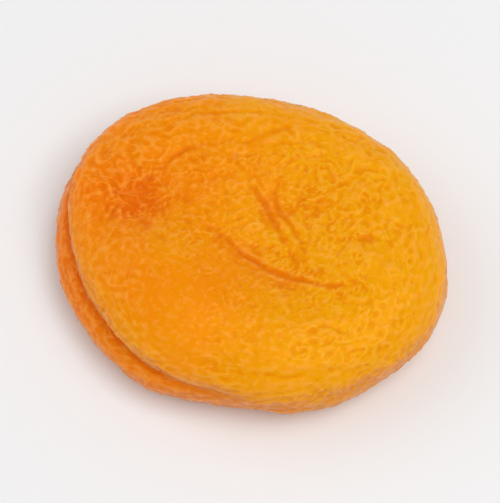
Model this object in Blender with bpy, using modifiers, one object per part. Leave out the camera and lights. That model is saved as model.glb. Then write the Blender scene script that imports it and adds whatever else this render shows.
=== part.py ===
"""A dried apricot: one pitted fruit, dried whole and pressed flat, lying on its flatter side.

The frame is in metres, with +Z up. The origin is on the surface that the fruit lies on, under the
middle of its box, with X along the fruit. The stem end is at -X. The flesh is one closed body:
a ball that is pressed into a cake, dished on top, with its rim folded in at the stem end.
"""

import math

import bmesh
import bpy
from mathutils import Matrix, Vector, noise

MM = 0.001

# Driving dimensions of the whole fruit
LENGTH = 44.0 * MM
WIDTH = 35.4 * MM
THICKNESS = 12.4 * MM
FLAT_CUT = 0.12 * MM  # how deep the drying tray has pressed the underside flat

# How square the fruit is: 2 is an ellipse, and more is squarer
PLAN_POWER = 2.1
UPPER_POWER = 3.5
LOWER_POWER = 3.6

# The dish that is left where the stone was, off the middle, so that one side stays plump
DISH_AT = Vector((2.5, 2.3)) * MM
DISH_DEPTH = 1.8 * MM
DISH_LENGTH = 33.0 * MM
DISH_WIDTH = 25.0 * MM

# The fold that runs into the rim, and the two lips beside it
FOLD_MIDDLE = math.radians(216)  # measured from +X, as seen from above
FOLD_HALF_SPAN = math.radians(67)
FOLD_DEPTH = 2.1 * MM
FOLD_HEIGHT = 1.2 * MM  # above the middle of the fruit's thickness
FOLD_HALF_WIDTH = 0.85 * MM
LIP_STEP = 1.8 * MM  # how far the lower lip stands out past the upper one
UPPER_LIP_SHARE = 0.65  # of that step, how much the upper lip draws back; the lower lip bulges by the rest

# The puckered hollow at the stem end, and the valley that runs from it along the top
STEM_AT = Vector((-14.1, 1.5)) * MM
STEM_DEPTH = 1.8 * MM
STEM_RADIUS = 2.7 * MM
VALLEY = [Vector(p) * MM for p in ((-14.1, 1.5), (-7.8, 1.3), (-0.7, -1.6), (5.1, -3.3), (13.0, -3.8))]
VALLEY_DEPTH = 0.9 * MM
VALLEY_RADIUS = 1.9 * MM

# The soft lumps all over, which fade out where the fruit is pressed on the tray
LUMP_HEIGHT = 1.1 * MM
LUMP_SIZE = 11.5 * MM
LUMP_OFFSET = Vector((3.1, 7.4, 1.7))
LUMP_FREE_HEIGHT = 2.8 * MM  # at this height above the tray the lumps have their full height

# The cage that Subdivision Surface smooths
CAGE_CELLS = 14  # along each edge of the cube that the ball is made from
SMOOTH_LEVELS = 1

TRAY_SIDE = 80.0 * MM
TRAY_HEIGHT = 10.0 * MM


def fall_off(distance, radius):
    """1 at no distance, about a third at the radius, and soon nothing."""
    return math.exp(-((distance / radius) ** 2))


def plan_radius(around):
    """Distance from the middle to the rim, seen from above, in the direction `around`."""
    along = abs(math.cos(around) / (LENGTH / 2)) ** PLAN_POWER
    across = abs(math.sin(around) / (WIDTH / 2)) ** PLAN_POWER
    return (along + across) ** (-1 / PLAN_POWER)


def fold_share(around):
    """1 in the middle of the rim's fold, and 0 past its ends."""
    turn = (around - FOLD_MIDDLE + math.pi) % math.tau - math.pi
    if abs(turn) > FOLD_HALF_SPAN:
        return 0.0
    return math.cos(turn / FOLD_HALF_SPAN * math.pi / 2) ** 1.2


def distance_to_valley(point):
    """Distance from a point of the plan to the valley's nearest leg."""
    nearest = math.inf
    for start, end in zip(VALLEY, VALLEY[1:]):
        leg = end - start
        share = min(1.0, max(0.0, (point - start).dot(leg) / leg.length_squared))
        nearest = min(nearest, (point - start - leg * share).length)
    return nearest


def pressed_ball(direction):
    """Where the skin of a ball in this direction ends up when the ball is pressed into a cake."""
    around = math.atan2(direction.y, direction.x)
    outward = math.hypot(direction.x, direction.y)
    power = UPPER_POWER if direction.z > 0 else LOWER_POWER
    squareness = (outward**power + abs(direction.z) ** power) ** (1 / power)
    outward /= squareness
    height = direction.z / squareness * THICKNESS / 2

    share = fold_share(around)
    above_fold = height - FOLD_HEIGHT
    in_upper_lip = (1 + math.tanh(above_fold / FOLD_HALF_WIDTH)) / 2
    lips = LIP_STEP * share * (1 - UPPER_LIP_SHARE - in_upper_lip)
    fold = -FOLD_DEPTH * share * fall_off(above_fold, FOLD_HALF_WIDTH)
    radius = outward * plan_radius(around) + outward**3 * (lips + fold)
    return Vector((radius * math.cos(around), radius * math.sin(around), height))


def top_hollow(plan):
    """How far the top has sunk at a point of the plan: the dish, the stem's hollow and the valley."""
    from_dish = plan - DISH_AT
    in_dish = 1 - (2 * from_dish.x / DISH_LENGTH) ** 2 - (2 * from_dish.y / DISH_WIDTH) ** 2
    dish = DISH_DEPTH * max(0.0, in_dish) ** 1.5
    stem = STEM_DEPTH * fall_off((plan - STEM_AT).length, STEM_RADIUS)
    valley = VALLEY_DEPTH * fall_off(distance_to_valley(plan), VALLEY_RADIUS)
    return dish + stem + valley


def skin_point(direction):
    """Where the skin lies in one direction, with its hollows and lumps, about the fruit's own middle."""
    point = pressed_ball(direction)
    lump = LUMP_HEIGHT * noise.noise(point / LUMP_SIZE + LUMP_OFFSET)
    lump *= min(1.0, (point.z + THICKNESS / 2) / LUMP_FREE_HEIGHT)
    if direction.z > 0:
        point.z -= top_hollow(point.xy)
    return point + direction * lump


def flesh_cage():
    """A closed cage of quads: a cube cut into cells, rounded into a ball and pressed into the fruit."""
    cage = bmesh.new()
    bmesh.ops.create_cube(cage, size=2.0)
    bmesh.ops.subdivide_edges(cage, edges=cage.edges[:], cuts=CAGE_CELLS - 1, use_grid_fill=True)
    for vertex in cage.verts:
        even = Vector([math.tan(c * math.pi / 4) for c in vertex.co])  # cells of equal angle
        vertex.co = skin_point(even.normalized())
    mesh = bpy.data.meshes.new("apricot")
    cage.to_mesh(mesh)
    cage.free()
    return mesh


def fit_to_size(smoothed):
    """Scales an object's cage until its smoothed skin has the driving dimensions.

    The skin is centred over the origin, and its lowest point is FLAT_CUT below the tray's surface.
    """
    bpy.context.view_layer.update()
    skin = smoothed.evaluated_get(bpy.context.evaluated_depsgraph_get()).data
    lows = Vector([min(v.co[axis] for v in skin.vertices) for axis in range(3)])
    highs = Vector([max(v.co[axis] for v in skin.vertices) for axis in range(3)])
    wanted = Vector((LENGTH, WIDTH, THICKNESS + FLAT_CUT))
    scale = [wanted[axis] / (highs[axis] - lows[axis]) for axis in range(3)]
    seat = Vector(((lows.x + highs.x) / 2, (lows.y + highs.y) / 2, lows.z))
    sunk = Matrix.Translation((0, 0, -FLAT_CUT))
    smoothed.data.transform(sunk @ Matrix.Diagonal((*scale, 1)) @ Matrix.Translation(-seat))


def skin_material():
    """Amber flesh, soft and a little moist."""
    material = bpy.data.materials.new("dried_flesh")
    material.use_nodes = True
    shader = material.node_tree.nodes["Principled BSDF"]
    shader.inputs["Base Color"].default_value = (0.87, 0.27, 0.012, 1.0)
    shader.inputs["Roughness"].default_value = 0.45
    shader.inputs["Metallic"].default_value = 0.0
    return material


def collection_named(name):
    collection = bpy.data.collections.new(name)
    bpy.context.scene.collection.children.link(collection)
    return collection


def add_tray(collection):
    """The cutter that presses the underside flat: a block whose top face is at the origin's height."""
    block = bmesh.new()
    bmesh.ops.create_cube(block, size=1.0)
    bmesh.ops.scale(block, vec=(TRAY_SIDE, TRAY_SIDE, TRAY_HEIGHT), verts=block.verts)
    bmesh.ops.translate(block, vec=(0, 0, -TRAY_HEIGHT / 2), verts=block.verts)
    mesh = bpy.data.meshes.new("tray")
    block.to_mesh(mesh)
    block.free()
    tray = bpy.data.objects.new("tray", mesh)
    tray.hide_render = True
    tray.display_type = "WIRE"
    collection.objects.link(tray)
    return tray


def add_apricot(collection, tray):
    apricot = bpy.data.objects.new("apricot", flesh_cage())
    apricot.data.shade_smooth()
    apricot.data.materials.append(skin_material())
    collection.objects.link(apricot)

    smooth = apricot.modifiers.new("smooth_skin", "SUBSURF")
    smooth.levels = SMOOTH_LEVELS
    smooth.render_levels = SMOOTH_LEVELS
    fit_to_size(apricot)

    press = apricot.modifiers.new("press_flat", "BOOLEAN")
    press.operation = "DIFFERENCE"
    press.solver = "EXACT"
    press.object = tray
    return apricot


def main():
    for old in list(bpy.data.objects):
        bpy.data.objects.remove(old)
    parts = collection_named("dried_apricot")
    cutters = collection_named("cutters")
    add_apricot(parts, add_tray(cutters))


main()
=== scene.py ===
import math

import bmesh
import bpy
import numpy as np
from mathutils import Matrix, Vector, noise


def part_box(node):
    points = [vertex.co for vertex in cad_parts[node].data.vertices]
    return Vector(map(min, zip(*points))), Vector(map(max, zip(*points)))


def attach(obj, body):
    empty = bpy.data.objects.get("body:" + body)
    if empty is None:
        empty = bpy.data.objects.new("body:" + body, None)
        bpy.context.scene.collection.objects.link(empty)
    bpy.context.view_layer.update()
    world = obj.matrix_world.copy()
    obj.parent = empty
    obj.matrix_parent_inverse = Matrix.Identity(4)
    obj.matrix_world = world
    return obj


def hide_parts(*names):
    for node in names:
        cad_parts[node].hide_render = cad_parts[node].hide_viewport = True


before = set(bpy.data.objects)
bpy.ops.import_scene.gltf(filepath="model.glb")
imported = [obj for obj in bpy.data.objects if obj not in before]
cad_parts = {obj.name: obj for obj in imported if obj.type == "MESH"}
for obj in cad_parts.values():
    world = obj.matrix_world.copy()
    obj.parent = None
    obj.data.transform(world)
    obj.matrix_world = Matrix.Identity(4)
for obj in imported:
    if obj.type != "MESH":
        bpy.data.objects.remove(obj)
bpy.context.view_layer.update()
mm = 0.001

# The fruit lies with x from its stem end to its tip, y across it and z up. The settings of its shape are
# in millimetres, and a point of two numbers is a place in its plan, from the middle of the fruit.
flesh = {
    "node": "apricot",
    "piece": "apricot_flesh",
    "slot": "dried_flesh",
    "coarseCell": 0.85,  # two subdivisions bring it down to a fifth of a millimetre
    "evenTimes": 4,  # how often the coarse skin is smoothed before anything is put on it
    "stemAt": (-14.1, 1.5),
}


def throughModifier(mesh, kind, **settings):
    # applies one modifier to a mesh and gives back the mesh that comes out
    holder = bpy.data.objects.new("holder", mesh)
    bpy.context.scene.collection.objects.link(holder)
    step = holder.modifiers.new(kind.lower(), kind)
    for name, value in settings.items():
        setattr(step, name, value)
    bpy.context.view_layer.update()
    made = bpy.data.meshes.new_from_object(holder.evaluated_get(bpy.context.evaluated_depsgraph_get()))
    bpy.data.objects.remove(holder)
    bpy.data.meshes.remove(mesh)
    return made


def evenSkin():
    # the node's own form, as small even quads
    bm = bmesh.new()
    bm.from_mesh(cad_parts[flesh["node"]].data)
    bmesh.ops.remove_doubles(bm, verts=bm.verts, dist=0.001 * mm)
    mesh = bpy.data.meshes.new("skin")
    bm.to_mesh(mesh)
    bm.free()
    mesh = throughModifier(mesh, "REMESH", mode="VOXEL", voxel_size=flesh["coarseCell"] * mm)
    bm = bmesh.new()
    bm.from_mesh(mesh)
    allAxes = {"use_axis_x": True, "use_axis_y": True, "use_axis_z": True}
    for _ in range(flesh["evenTimes"]):
        bmesh.ops.smooth_vert(bm, verts=bm.verts, factor=0.5, **allAxes)
    bm.to_mesh(mesh)
    bm.free()
    print("even skin:", len(mesh.vertices), "points")
    return mesh


def vectorsOf(items, name):
    values = np.empty(len(items) * 3, np.float32)
    items.foreach_get(name, values)
    return values.reshape(-1, 3).astype(float)


class Skin:
    # what the wrinkles are worked out on: a mesh's points and the pairs of points that are neighbours.
    # The points are in metres, as in the mesh, and the plan, the heights and the cell are in mm.
    steadyPace = 0.3  # a blur that takes bigger steps than this doesn't settle

    def __init__(self, mesh):
        self.mesh = mesh
        self.points = vectorsOf(mesh.vertices, "co")
        self.normals = vectorsOf(mesh.vertex_normals, "vector")
        self.plan = self.points[:, :2] / mm
        self.height = self.points[:, 2] / mm
        edges = np.empty(len(mesh.edges) * 2, np.int32)
        mesh.edges.foreach_get("vertices", edges)
        edges = edges.reshape(-1, 2)
        corners = np.empty(len(mesh.loops), np.int32)
        mesh.loops.foreach_get("vertex_index", corners)
        corners = corners.reshape(-1, 4)
        self.pairs = np.concatenate([edges, corners[:, [0, 2]], corners[:, [1, 3]]])
        legs = self.points[self.pairs[:, 1]] - self.points[self.pairs[:, 0]]
        lengths = np.linalg.norm(legs, axis=1)
        self.ways = legs / lengths[:, None]
        self.cell = float(np.median(lengths[: len(edges)])) / mm
        self.weights = np.full(len(self.pairs), 1 / 6)  # a diagonal neighbour counts a quarter as much
        self.weights[: len(edges)] = 2 / 3
        self.calm = np.ones(len(self.points))

    def spread(self, values, weights):
        first, second = self.pairs[:, 0], self.pairs[:, 1]
        flow = weights * (values[second] - values[first])
        return np.bincount(first, flow, len(values)) - np.bincount(second, flow, len(values))

    def blurred(self, values, radius, weights=None, reach=1.0):
        weights = self.weights if weights is None else weights
        pace = self.steadyPace / reach**2
        times = max(1, round((radius / self.cell) ** 2 / 2 / pace))
        for _ in range(times):
            values = values + pace * self.spread(values, weights)
        return values

    def push(self, distances):
        self.points = self.points + self.normals * (distances * mm)[:, None]
        self.mesh.vertices.foreach_set("co", self.points.astype(np.float32).ravel())
        self.mesh.update()
        self.normals = vectorsOf(self.mesh.vertex_normals, "vector")


def fallOff(away, reach):
    # 1 at no distance, about a third at the reach, and soon nothing
    return np.exp(-((away / reach) ** 2))


def awayFrom(skin, place):
    return np.linalg.norm(skin.plan - np.array(place), axis=1)


# Wrinkles run round the fruit where it curves down to its rim, and away from the stem near it. The rim
# starts at a share of the way out from the middle.
grain = {"rimFrom": 0.45, "rimOver": 0.5, "stemReach": 5.0}


def grainOf(skin):
    # which way the wrinkles run, and how much they are drawn out that way
    low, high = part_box(flesh["node"])
    outline = np.array((high.x - low.x, high.y - low.y)) / 2 / mm
    share = skin.plan / outline
    rimness = np.clip((np.linalg.norm(share, axis=1) - grain["rimFrom"]) / grain["rimOver"], 0, 1)
    outward = skin.plan / outline**2
    outward /= np.maximum(np.linalg.norm(outward, axis=1), 1e-9)[:, None]
    roundRim = np.stack([-outward[:, 1], outward[:, 0], np.zeros(len(outward))], axis=1)
    fromStem = skin.plan - np.array(flesh["stemAt"])
    away = np.linalg.norm(fromStem, axis=1)
    nearStem = fallOff(away, grain["stemReach"]) * (skin.normals[:, 2] > 0)
    ray = np.concatenate([fromStem / np.maximum(away, 1e-9)[:, None], np.zeros((len(away), 1))], axis=1)
    along = roundRim * (1 - nearStem)[:, None] + ray * nearStem[:, None]
    along -= skin.normals * (along * skin.normals).sum(1)[:, None]
    along /= np.maximum(np.linalg.norm(along, axis=1), 1e-9)[:, None]
    return along, np.maximum(rimness, nearStem)


# How lively the wrinkles are in places on the top, and a slow and a quick drift in it all over, whose
# scales are per metre
liveliness = {
    "places": [
        {"at": (-3.0, -9.0), "reach": 8.0, "change": -0.65},
        {"at": (5.0, -12.5), "reach": 5.0, "change": -0.35},
        {"at": (9.5, 6.5), "reach": 7.0, "change": 0.45},
        {"at": (-11.0, 3.0), "reach": 5.5, "change": 0.45},
        {"at": (0.0, 6.0), "reach": 4.0, "change": 0.2},
    ],
    "drift": 0.7,
    "slowScale": 130.0,
    "quickScale": 380.0,
    "quickShare": 1.1,
    "least": 0.1,
    "most": 2.0,
}


def livelinessOf(skin):
    # 1 where the wrinkles have their own height
    onTop = np.clip(skin.normals[:, 2] * 3, 0, 1)
    lively = np.ones(len(skin.points))
    for patch in liveliness["places"]:
        lively += onTop * patch["change"] * fallOff(awayFrom(skin, patch["at"]), patch["reach"])
    slow = np.array([noise.noise(Vector(point) * liveliness["slowScale"]) for point in skin.points])
    quick = np.array([noise.noise(Vector(point) * liveliness["quickScale"]) for point in skin.points])
    lively = lively + liveliness["drift"] * (slow + liveliness["quickShare"] * quick)
    return np.clip(lively, liveliness["least"], liveliness["most"])


# Wrinkles all over, broad ones first. "level" is how many times the skin is subdivided before they are
# put on, "rimReach" how much longer than wide they are at the rim, "moods" the power of the liveliness
# in their height, and "rounds" how often they are drawn together. The "thin" ones are narrow ridges
# between flatter cells.
wrinkles = [
    {"level": 0, "apart": 4.4, "height": 0.080, "rimReach": 1.8, "moods": 1.0, "seed": 11, "rounds": 2},
    {"level": 1, "apart": 2.4, "height": 0.056, "rimReach": 2.8, "moods": 1.0, "seed": 23, "rounds": 2},
    {"level": 2, "apart": 1.6, "height": 0.028, "rimReach": 3.0, "moods": 1.0, "seed": 37, "rounds": 1,
     "thin": 0.42},
    {"level": 2, "apart": 0.85, "height": 0.064, "rimReach": 3.0, "moods": 0.4, "seed": 41, "rounds": 1},
]

# A pattern is blurred by the distance between its wrinkles divided by "fine", "broad" and "last", and
# drawn together by "drawn"
wrinkleMaking = {"fine": 6.5, "broad": 3.75, "last": 9.0, "drawn": 1.2}


def wrinklePattern(skin, wave):
    # ridges and hollows from -1 to 1. Each round blurs along the skin's grain, takes the broad form away
    # and draws together what is left.
    along, drawnOut = grainOf(skin)
    reach = 1 + (wave["rimReach"] - 1) * drawnOut
    lean = np.abs((skin.ways * along[skin.pairs[:, 0]]).sum(1))
    pairReach = reach[skin.pairs].mean(1)
    weights = skin.weights * (1 + (pairReach**2 - 1) * lean**4)
    longest = float(pairReach.max())
    height = np.random.default_rng(wave["seed"]).normal(size=len(skin.points))
    for _ in range(wave["rounds"]):
        fine = skin.blurred(height, wave["apart"] / wrinkleMaking["fine"], weights, longest)
        broad = skin.blurred(fine, wave["apart"] / wrinkleMaking["broad"], weights, longest)
        height = fine - broad
        height = np.tanh(wrinkleMaking["drawn"] * height / height.std())
    return skin.blurred(height, wave["apart"] / wrinkleMaking["last"])


def thinRidges(pattern, thin):
    # narrow ridges along the lines where the pattern changes sign, with flat cells between them
    ridges = fallOff(pattern / pattern.std(), thin)
    return (ridges - ridges.mean()) / ridges.std()


# The crease between the two lips of the rim. "middle" is the direction it faces and "halfSpan" how far it
# goes each way, in degrees from +X.
fold = {
    "middle": 216.0,
    "halfSpan": 62.0,
    "height": 7.4,
    "depth": 0.55,
    "half": 0.42,
    "lip": 0.10,  # how far the edge of the upper lip is drawn out over the crease
    "lipAbove": 3.2,  # how far above the crease that edge is, counted in the crease's half width
    "sideFrom": 12.0,  # the skin further out than this in the plan is the fruit's side
}


def turnFromFold(skin):
    turn = np.degrees(np.arctan2(skin.plan[:, 1], skin.plan[:, 0])) - fold["middle"]
    return (turn + 180) % 360 - 180


def foldCrease(skin):
    # the crease is cut in and the edge of the upper lip drawn out, both fading at the ends of the fold
    share = np.cos(np.radians(90) * np.clip(turnFromFold(skin) / fold["halfSpan"], -1, 1)) ** 0.7
    atSide = np.linalg.norm(skin.plan, axis=1) > fold["sideFrom"]
    above = (skin.height - fold["height"]) / fold["half"]
    lip = fold["lip"] * fallOff(above - fold["lipAbove"], 1)
    return share * atSide * (lip - fold["depth"] * np.exp(-np.abs(above) ** 1.5))


def smoothLine(through, steps=8):
    # a Catmull-Rom curve through the points
    points = [Vector(point) for point in through]
    ends = [2 * points[0] - points[1], *points, 2 * points[-1] - points[-2]]
    line = []
    for a, b, c, d in zip(ends, ends[1:], ends[2:], ends[3:]):
        for step in range(steps):
            t = step / steps
            straight = 2 * b + (c - a) * t
            bent = (2 * a - 5 * b + 4 * c - d) * t**2
            line.append(0.5 * (straight + bent + (3 * b - a - 3 * c + d) * t**3))
    return np.array([*line, points[-1]])


def alongLine(plan, through):
    # distance from each place in the plan to the line, and how far along it the nearest point is
    line = smoothLine(through)
    starts, legs = line[:-1], np.diff(line, axis=0)
    near = np.full(len(plan), np.inf)
    place = np.zeros(len(plan))
    for index, (start, leg) in enumerate(zip(starts, legs)):
        offset = plan - start
        t = np.clip(offset @ leg / (leg @ leg), 0, 1)
        away = np.linalg.norm(offset - t[:, None] * leg, axis=1)
        closer = away < near
        near[closer] = away[closer]
        place[closer] = ((index + t) / len(legs))[closer]
    return near, place


# The long valley is softer in the skin than in the node, so this much of it is filled
filling = {
    "through": [(-14.1, 1.5), (-7.8, 1.3), (-0.7, -1.6), (5.1, -3.3), (13.0, -3.8)],
    "height": 0.20,
    "reach": 2.2,
}


def filledValley(skin):
    near, place = alongLine(skin.plan, filling["through"])
    onTop = skin.normals[:, 2] > 0
    return filling["height"] * fallOff(near, filling["reach"]) * np.sin(np.pi * place) * onTop


# Furrows along the top. Each is a narrow crease with the given depth and half width in a soft trough. It
# is strongest at the share "deepest" of its length and falls off by "fade" each way. "waves" is how
# often it widens and narrows.
furrows = [
    {"through": [(-6.2, 0.9), (-3.4, -0.2), (-0.7, -1.6), (2.4, -2.9), (5.6, -3.5), (9.6, -3.4),
                 (12.6, -2.6)],
     "depth": 0.19, "half": 0.27, "trough": 0.24, "deepest": 0.58, "fade": 0.40, "waves": 16},
    {"through": [(-4.0, 9.4), (-1.6, 6.3), (1.0, 3.9), (3.1, 1.2), (5.4, -2.0)],
     "depth": 0.14, "half": 0.27, "trough": 0.20, "deepest": 0.60, "fade": 0.50, "waves": 11},
    {"through": [(1.1, 8.2), (1.8, 4.7), (4.4, 2.0), (6.8, -1.6)],
     "depth": 0.12, "half": 0.25, "trough": 0.08, "deepest": 0.60, "fade": 0.55, "waves": 12},
    {"through": [(-13.4, 2.6), (-11.4, 4.9), (-10.2, 7.2), (-7.0, 9.3), (-2.4, 10.6), (2.0, 10.4)],
     "depth": 0.10, "half": 0.34, "trough": 0.28, "deepest": 0.35, "fade": 0.45, "waves": 18},
    {"through": [(-3.4, 10.2), (-0.4, 12.4), (3.0, 14.3)],
     "depth": 0.09, "half": 0.32, "trough": 0.10, "deepest": 0.40, "fade": 0.50, "waves": 11},
    {"through": [(8.6, 1.4), (12.6, 2.4), (15.4, 2.2)],
     "depth": 0.08, "half": 0.60, "trough": 0.16, "deepest": 0.50, "fade": 0.60, "waves": 14},
    {"through": [(-12.6, 0.2), (-10.2, -2.0), (-7.2, -3.0)],
     "depth": 0.12, "half": 0.40, "trough": 0.10, "deepest": 0.30, "fade": 0.50, "waves": 11},
    {"through": [(7.6, -9.6), (9.8, -8.2), (12.2, -8.6)],
     "depth": 0.16, "half": 0.30, "trough": 0.06, "deepest": 0.50, "fade": 0.55, "waves": 12},
    {"through": [(-13.0, 10.2), (-8.6, 12.6), (-2.0, 14.4), (4.4, 14.6)],
     "depth": 0.08, "half": 0.28, "trough": 0.06, "deepest": 0.50, "fade": 0.60, "waves": 14},
    {"through": [(2.0, -15.2), (8.0, -14.2), (13.6, -11.4)],
     "depth": 0.10, "half": 0.30, "trough": 0.06, "deepest": 0.50, "fade": 0.60, "waves": 14},
]

# What all furrows share
furrowShape = {
    "troughReach": 1.5,
    "unevenness": 0.2,  # how much its waves change a furrow's width and depth
    "shoulder": 0.28,  # the height of a crease's shoulders, as a share of its depth
    "shoulderAt": 2.1,  # where they are and how far they reach, counted in the crease's half width
    "shoulderReach": 0.9,
    "lowest": 5.0,  # the skin lower than this has no furrows
    "strayReach": 0.25,  # how far a furrow strays from its line
    "strayScale": 0.42,
    "calming": 0.55,  # how much calmer the later wrinkles are beside a furrow
    "calmReach": 0.7,
}


def strayedPlan(skin):
    # the plan pulled a little to and fro, so that no furrow keeps quite to its line
    scale = furrowShape["strayScale"]
    stray = [
        (noise.noise(Vector((x, y, 3)) * scale), noise.noise(Vector((x, y, 9)) * scale))
        for x, y in skin.plan
    ]
    return skin.plan + furrowShape["strayReach"] * np.array(stray)


def cutFurrows(skin, cuts):
    plan = strayedPlan(skin)
    for cut in cuts:
        near, place = alongLine(plan, cut["through"])
        strength = fallOff(place - cut["deepest"], cut["fade"]) * np.sin(np.pi * place) ** 0.4
        strength = strength * ((skin.normals[:, 2] > 0) & (skin.height > furrowShape["lowest"]))
        wave = np.sin(place * cut["waves"] + cut["deepest"] * 9)
        across = near / cut["half"] / (1 + furrowShape["unevenness"] * wave)
        strength = strength * (1 - furrowShape["unevenness"] * wave)
        crease = np.exp(-(across**1.6))
        beside = across - furrowShape["shoulderAt"]
        shoulder = furrowShape["shoulder"] * fallOff(beside, furrowShape["shoulderReach"])
        trough = fallOff(near, furrowShape["troughReach"])
        skin.push(strength * (cut["depth"] * (shoulder - crease) - cut["trough"] * trough))
        skin.calm *= 1 - furrowShape["calming"] * strength * fallOff(near, furrowShape["calmReach"])


# Short creases that run away from the stem's hollow
puckers = {
    "count": 8,
    "from": 0.8,
    "short": 1.8,
    "long": 5.0,
    "depth": 0.13,
    "depthBetween": (0.3, 1.2),  # each crease's depth and half width are these shares of the usual
    "half": 0.30,
    "halfBetween": (0.7, 1.4),
    "turn": 0.3,  # how far a crease is turned out of its place, as a share of the gap to the next
    "bend": 0.35,
    "seed": 5,
}


def puckerFurrows():
    chance = np.random.default_rng(puckers["seed"])
    stem = np.array(flesh["stemAt"])
    made = []
    for index in range(puckers["count"]):
        moved = index + chance.uniform(-puckers["turn"], puckers["turn"])
        turn = 2 * math.pi * moved / puckers["count"]
        length = chance.uniform(puckers["short"], puckers["long"])
        bend = chance.uniform(-puckers["bend"], puckers["bend"])
        through = []
        for share in (0, 0.5, 1):
            far = puckers["from"] + share * length
            way = turn + bend * share
            through.append(tuple(stem + far * np.array((math.cos(way), math.sin(way)))))
        made.append({
            "through": through,
            "depth": puckers["depth"] * chance.uniform(*puckers["depthBetween"]),
            "half": puckers["half"] * chance.uniform(*puckers["halfBetween"]),
            "trough": 0.0,
            "deepest": 0.3,
            "fade": 0.5,
            "waves": 6,
        })
    return made


def wrinkledSkin():
    mesh = evenSkin()
    level = 0
    skin = Skin(mesh)
    skin.push(filledValley(skin))
    for wave in wrinkles:
        if wave["level"] > level:
            if level == 1:
                skin.push(foldCrease(skin))
            mesh = throughModifier(mesh, "SUBSURF", levels=1, render_levels=1)
            level = wave["level"]
            skin = Skin(mesh)
            if level == 2:
                cutFurrows(skin, furrows)
        pattern = wrinklePattern(skin, wave)
        if "thin" in wave:
            pattern = thinRidges(pattern, wave["thin"])
        skin.push(wave["height"] * pattern * skin.calm * livelinessOf(skin) ** wave["moods"])
        print("wrinkles", wave["apart"], "mm apart on", len(mesh.vertices), "points")
    cutFurrows(skin, puckerFurrows())
    skin.points[:, 2] = np.maximum(skin.points[:, 2], 0)  # nothing sinks into what the fruit lies on
    skin.push(np.zeros(len(skin.points)))
    print(len(furrows), "furrows and", puckers["count"], "creases round the stem")
    return skin


# What the colours are told about the skin. "ridge" and "swell" are how far a point stands out of the skin
# within a radius around it, and "full" is how far out counts as wholly out. The hollows they find are
# darkened as painted shade, and the tops of the ridges are lightened as painted highlight.
relief = {
    "ridge": {"radius": 0.45, "full": 0.05},
    "swell": {"radius": 1.8, "full": 0.3},
}
zones = {
    "plumpAt": (-3.0, -9.5),
    "plumpReach": 8.0,
    "stemReach": 5.5,
    "lowLipTop": 0.3,  # above the crease in the fold
    "lowLipFade": 0.8,
    "lowLipSpread": 1.6,
}


def addAttribute(mesh, name, values):
    attribute = mesh.attributes.new(name, "FLOAT", "POINT")
    attribute.data.foreach_set("value", values.astype(np.float32))


def tellZones(skin):
    # gives the mesh the attributes that the flesh's colours follow
    for name, look in relief.items():
        mean = np.stack([skin.blurred(skin.points[:, axis], look["radius"]) for axis in range(3)], axis=1)
        out = ((skin.points - mean) * skin.normals).sum(1) / mm
        addAttribute(skin.mesh, name, np.clip(out / look["full"], -1, 1) * 0.5 + 0.5)
    # painted shade: the lower lip just under the crease, where the upper lip would shade it
    under = np.clip((fold["height"] + zones["lowLipTop"] - skin.height) / zones["lowLipFade"], 0, 1)
    facesFold = np.clip(np.cos(np.radians(turnFromFold(skin))) * zones["lowLipSpread"], 0, 1)
    addAttribute(skin.mesh, "shadedLowLip", under * facesFold)
    addAttribute(skin.mesh, "plump", fallOff(awayFrom(skin, zones["plumpAt"]), zones["plumpReach"]))
    # painted shade: darker where the skin turns from facing up to facing sideways
    addAttribute(skin.mesh, "shadedSide", np.clip(1 - skin.normals[:, 2], 0, 1))
    onTop = np.clip(skin.normals[:, 2] * 2 + 0.5, 0, 1)
    flush = fallOff(awayFrom(skin, flesh["stemAt"]), zones["stemReach"]) * onTop
    addAttribute(skin.mesh, "stemFlush", flush)


def makeFlesh():
    skin = wrinkledSkin()
    tellZones(skin)
    mesh = skin.mesh
    mesh.name = flesh["piece"]
    mesh.shade_smooth()
    piece = bpy.data.objects.new(flesh["piece"], mesh)
    bpy.context.scene.collection.objects.link(piece)
    return piece


fleshLook = {
    "orange": (0.90, 0.235, 0.001),
    "yellow": (0.89, 0.40, 0.001),
    # deep orange of the skin round the stem, and also the colour of the painted shade on the lower lip
    # and in hollows
    "deepOrangeAndShade": (0.80, 0.13, 0.001),
    # the colour of the painted shade on the sides
    "shadedSide": (0.68, 0.165, 0.001),
    # pale colour of painted highlights and glints, partly a dry bloom on the skin
    "bloomAndGlint": (1.0, 0.46, 0.085),
    "yellowMiddle": 0.60,
    "yellowAlong": 24.0,  # yellower towards the tip, for each metre
    "yellowAcross": -7.0,  # and less so towards the far side
    "yellowPatches": {"scale": 110.0, "share": 0.9},
    "yellowBetween": (0.35, 1.35),
    # the pattern of pale specks of painted glint, partly dry bloom
    "specks": {"scale": 1500.0, "detail": 2.0},
    "roughness": {"middle": 0.30, "change": 0.08, "scale": 700.0},
    "grain": {"scale": 2600.0, "detail": 4.0, "strength": 0.8, "height": 0.06 * mm},
    "shine": 0.42,
    "shineTint": (1.0, 0.5, 0.06),
    "glowReach": (1.0, 0.32, 0.06),  # how deep red, green and blue light go, as shares of the depth
    "glowDepth": 1.0 * mm,
}

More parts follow.
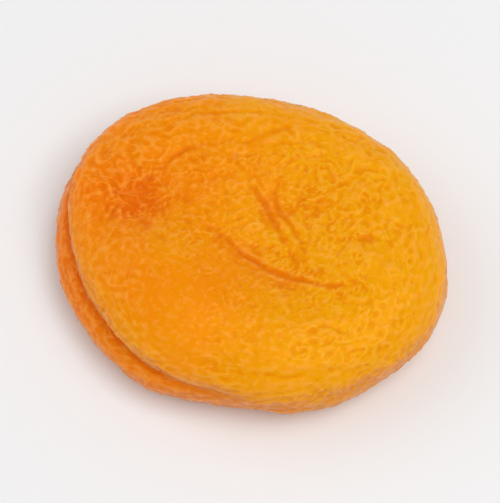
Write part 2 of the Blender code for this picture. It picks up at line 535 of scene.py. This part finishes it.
# Tints laid over the orange and yellow one after another: what each one follows, the values of it between
# which the tint comes in, its colour and its most. Several of them are painted light: shade on the lower
# lip, on the sides and in the hollows, and highlights on the ridges and in specks.
fleshTints = [
    {"by": "plump", "colour": "orange", "most": 0.45},
    {"by": "stemFlush", "colour": "deepOrangeAndShade", "most": 0.45},
    # painted shade on the lower lip under the fold's crease
    {"by": "shadedLowLip", "colour": "deepOrangeAndShade", "most": 0.55},
    # painted shade: a darker, redder colour where the skin faces sideways
    {"by": "shadedSide", "between": (0.25, 0.95), "colour": "shadedSide", "most": 0.65},
    # painted shade in the broad hollows of the skin
    {"by": "swell", "between": (0.5, 0.05), "colour": "deepOrangeAndShade", "most": 0.5},
    # painted shade in the fine hollows between the wrinkles
    {"by": "ridge", "between": (0.5, 0.0), "colour": "deepOrangeAndShade", "most": 0.28},
    # painted glints: pale specks scattered over the skin, partly a dry bloom
    {"by": "specks", "between": (0.50, 0.72), "colour": "bloomAndGlint", "most": 0.26},
    # painted highlight on the tops of the wrinkles, partly a dry bloom
    {"by": "ridge", "between": (0.55, 1.0), "colour": "bloomAndGlint", "most": 0.30},
]


def fleshMaterial():
    look = fleshLook
    material = bpy.data.materials.new("dried_flesh")
    material.use_nodes = True
    nodes, links = material.node_tree.nodes, material.node_tree.links
    shader = nodes["Principled BSDF"]

    def add(kind, **settings):
        node = nodes.new(kind)
        for name, value in settings.items():
            setattr(node, name, value)
        return node

    def give(socket, value):
        if isinstance(value, bpy.types.NodeSocket):
            links.new(value, socket)
        elif isinstance(value, tuple):
            socket.default_value = (*value, 1)
        else:
            socket.default_value = value

    def attribute(name):
        return add("ShaderNodeAttribute", attribute_name=name).outputs["Fac"]

    def noiseAt(scale, detail=3.0):
        node = add("ShaderNodeTexNoise")
        give(node.inputs["Vector"], place)
        give(node.inputs["Scale"], scale)
        give(node.inputs["Detail"], detail)
        return node.outputs["Fac"]

    def timesPlus(value, times, plus):
        node = add("ShaderNodeMath", operation="MULTIPLY_ADD")
        for socket, given in zip(node.inputs, (value, times, plus)):
            give(socket, given)
        return node.outputs[0]

    def ramp(value, between):
        node = add("ShaderNodeMapRange", interpolation_type="SMOOTHSTEP")
        give(node.inputs["Value"], value)
        give(node.inputs["From Min"], between[0])
        give(node.inputs["From Max"], between[1])
        return node.outputs["Result"]

    def mixed(share, first, second, most=1.0):
        scaled = add("ShaderNodeMath", operation="MULTIPLY")
        give(scaled.inputs[0], share)
        give(scaled.inputs[1], most)
        node = add("ShaderNodeMix", data_type="RGBA")
        give(node.inputs["Factor"], scaled.outputs[0])
        give(node.inputs[6], first)
        give(node.inputs[7], second)
        return node.outputs[2]

    place = add("ShaderNodeTexCoord").outputs["Object"]
    parts = add("ShaderNodeSeparateXYZ")
    give(parts.inputs[0], place)

    yellowness = timesPlus(parts.outputs["X"], look["yellowAlong"], look["yellowMiddle"])
    yellowness = timesPlus(parts.outputs["Y"], look["yellowAcross"], yellowness)
    patches = look["yellowPatches"]
    yellowness = timesPlus(noiseAt(patches["scale"]), patches["share"], yellowness)
    colour = mixed(ramp(yellowness, look["yellowBetween"]), look["orange"], look["yellow"])
    for tint in fleshTints:
        share = noiseAt(**look["specks"]) if tint["by"] == "specks" else attribute(tint["by"])
        if "between" in tint:
            share = ramp(share, tint["between"])
        colour = mixed(share, colour, look[tint["colour"]], tint["most"])
    give(shader.inputs["Base Color"], colour)

    rough = add("ShaderNodeMapRange")
    give(rough.inputs["Value"], noiseAt(look["roughness"]["scale"]))
    give(rough.inputs["To Min"], look["roughness"]["middle"] - look["roughness"]["change"])
    give(rough.inputs["To Max"], look["roughness"]["middle"] + look["roughness"]["change"])
    give(shader.inputs["Roughness"], rough.outputs["Result"])

    bump = add("ShaderNodeBump")
    give(bump.inputs["Height"], noiseAt(look["grain"]["scale"], look["grain"]["detail"]))
    give(bump.inputs["Strength"], look["grain"]["strength"])
    give(bump.inputs["Distance"], look["grain"]["height"])
    give(shader.inputs["Normal"], bump.outputs["Normal"])

    shader.inputs["Subsurface Weight"].default_value = 1.0
    shader.inputs["Subsurface Radius"].default_value = look["glowReach"]
    shader.inputs["Subsurface Scale"].default_value = look["glowDepth"]
    shader.inputs["Specular IOR Level"].default_value = look["shine"]
    shader.inputs["Specular Tint"].default_value = (*look["shineTint"], 1)
    print("flesh material:", len(fleshTints), "tints")
    return material


# The floor and the lamps are in metres. The floor lies just under the fruit.
ground = {"radius": 3.0, "sides": 96, "under": 0.02 * mm, "colour": (0.90, 0.90, 0.905), "roughness": 0.7}


def groundMaterial():
    material = bpy.data.materials.new("floor_white")
    material.use_nodes = True
    shader = material.node_tree.nodes["Principled BSDF"]
    shader.inputs["Base Color"].default_value = (*ground["colour"], 1)
    shader.inputs["Roughness"].default_value = ground["roughness"]
    return material


def makeFloor():
    bm = bmesh.new()
    bmesh.ops.create_circle(bm, cap_ends=True, segments=ground["sides"], radius=ground["radius"])
    bmesh.ops.translate(bm, verts=bm.verts, vec=(0, 0, -ground["under"]))
    mesh = bpy.data.meshes.new("floor")
    bm.to_mesh(mesh)
    bm.free()
    mesh.materials.append(groundMaterial())
    floor = bpy.data.objects.new("floor", mesh)
    bpy.context.scene.collection.objects.link(floor)


def facing(place, target):
    return (Vector(target) - Vector(place)).to_track_quat("-Z", "Y").to_euler()


lamps = [
    {"name": "windowLamp", "place": (0.17, -0.04, 0.50), "size": 0.34, "power": 1.45},
    {"name": "fillLamp", "place": (-0.40, 0.04, 0.38), "size": 0.45, "power": 0.55},
]

# How bright the room is: the walls up to one height, and the ceiling from another, overhead being 1
room = {"walls": 0.78, "ceiling": 0.40, "wallsEnd": 0.15, "ceilingFrom": 0.60}


def paleRoom():
    # bright pale walls all round under a dim ceiling, so that the top shines only where a lamp is
    world = bpy.data.worlds.new("paleRoom")
    world.use_nodes = True
    nodes, links = world.node_tree.nodes, world.node_tree.links
    parts = nodes.new("ShaderNodeSeparateXYZ")
    links.new(nodes.new("ShaderNodeTexCoord").outputs["Generated"], parts.inputs[0])
    fade = nodes.new("ShaderNodeMapRange")
    fade.interpolation_type = "SMOOTHSTEP"
    links.new(parts.outputs["Z"], fade.inputs["Value"])
    fade.inputs["From Min"].default_value = room["wallsEnd"]
    fade.inputs["From Max"].default_value = room["ceilingFrom"]
    fade.inputs["To Min"].default_value = room["walls"]
    fade.inputs["To Max"].default_value = room["ceiling"]
    links.new(fade.outputs["Result"], nodes["Background"].inputs["Strength"])
    nodes["Background"].inputs["Color"].default_value = (1.0, 1.0, 1.0, 1)
    return world


def makeLight():
    for lamp in lamps:
        light = bpy.data.lights.new(lamp["name"], "AREA")
        light.shape = "SQUARE"
        light.size = lamp["size"]
        light.energy = lamp["power"]
        holder = bpy.data.objects.new(lamp["name"], light)
        holder.location = lamp["place"]
        holder.rotation_euler = facing(lamp["place"], (0, 0, 0))
        bpy.context.scene.collection.objects.link(holder)
    bpy.context.scene.world = paleRoom()


# Angles in degrees and the lens in mm. "fills" is the share of the frame's width that the fruit takes up.
camera = {"azimuth": 12.7, "elevation": 70.0, "lens": 180.0, "fills": 0.80}


def makeCamera():
    low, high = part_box(flesh["node"])
    middle = (low + high) / 2
    turn, lift = math.radians(camera["azimuth"]), math.radians(camera["elevation"])
    back = Vector((math.sin(turn) * math.cos(lift), -math.cos(turn) * math.cos(lift), math.sin(lift)))
    eye = bpy.data.cameras.new("camera")
    eye.lens = camera["lens"]
    eye.clip_start = 0.01
    away = (high.x - low.x) / camera["fills"] * eye.lens / eye.sensor_width
    holder = bpy.data.objects.new("camera", eye)
    holder.location = middle + back * away
    holder.rotation_euler = facing(holder.location, middle)
    bpy.context.scene.collection.objects.link(holder)
    bpy.context.scene.camera = holder


makeCamera()
apricot = makeFlesh()
apricot.data.materials.clear()
apricot.data.materials.append(fleshMaterial())
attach(apricot, "root")
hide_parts(flesh["node"])
makeFloor()
makeLight()
bpy.context.scene.view_settings.view_transform = "Standard"
print("apricot, floor, lamps and camera are made")
